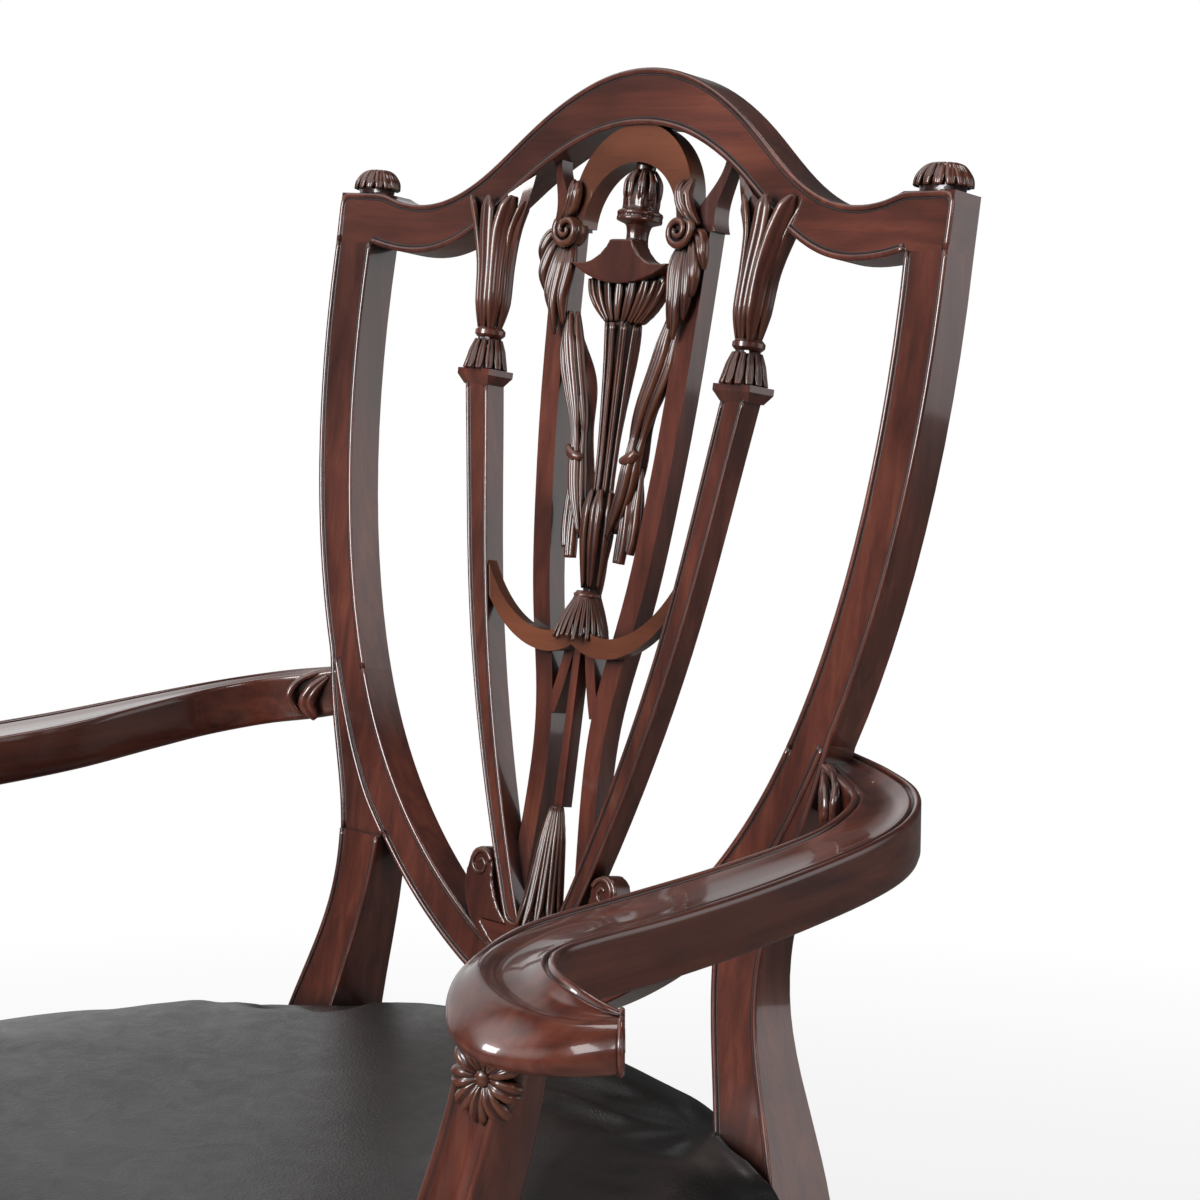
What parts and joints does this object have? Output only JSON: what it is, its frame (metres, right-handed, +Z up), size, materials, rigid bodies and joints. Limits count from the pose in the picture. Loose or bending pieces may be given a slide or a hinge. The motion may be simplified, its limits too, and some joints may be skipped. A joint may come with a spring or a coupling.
{
  "type": "shield back armchair",
  "caption": "Carved armchair with a pierced shield back, scrolled open arms, tapered front legs on spade feet and a padded leather seat.",
  "frame": {"origin": "on the floor, at the middle of the bounding box in plan", "axes": "+X towards the sitter's left, -Y the way the chair faces, +Z up"},
  "size_m": [0.7018, 0.5712, 1.0229],
  "materials": {
    "show_wood": "polished dark red-brown mahogany",
    "inner_wood": "plain sawn hardwood",
    "leather": "smooth black leather with a soft sheen",
    "padding": "foam padding",
    "under_cloth": "thin black dust cloth",
    "steel": "plain steel wood screws",
    "glides": "brown plastic glides"
  },
  "bodies": {
    "root": {"crest_rail": "show_wood", "corner_cap_left": "show_wood", "corner_cap_right": "show_wood", "rear_leg_left": "show_wood", "rear_leg_right": "show_wood", "shield_rail_left": "show_wood", "shield_rail_right": "show_wood", "splat_shoe": "show_wood", "splat_arch": "show_wood", "outer_rib_left": "show_wood", "outer_rib_right": "show_wood", "inner_rib_left": "show_wood", "inner_rib_right": "show_wood", "scroll_leaf_left": "show_wood", "scroll_leaf_right": "show_wood", "splat_urn": "show_wood", "urn_pedestal": "show_wood", "swag_rail": "show_wood", "tassel": "show_wood", "drapery_left": "show_wood", "drapery_right": "show_wood", "wheat_husk": "show_wood", "centre_reeds": "show_wood", "volute_left": "show_wood", "volute_right": "show_wood", "arm_left": "show_wood", "arm_right": "show_wood", "arm_support_left": "show_wood", "arm_support_right": "show_wood", "front_leg_left": "show_wood", "front_leg_right": "show_wood", "side_rail_left": "inner_wood", "side_rail_right": "inner_wood", "front_rail": "inner_wood", "rear_rail": "inner_wood", "corner_blocks": "inner_wood", "seat_deck": "inner_wood", "arm_dowels": "inner_wood", "seat_pad": "padding", "seat_cover": "leather", "dust_cover": "under_cloth", "corner_screws": "steel", "support_screws": "steel", "floor_glides": "glides"}
  },
  "joints": []
}
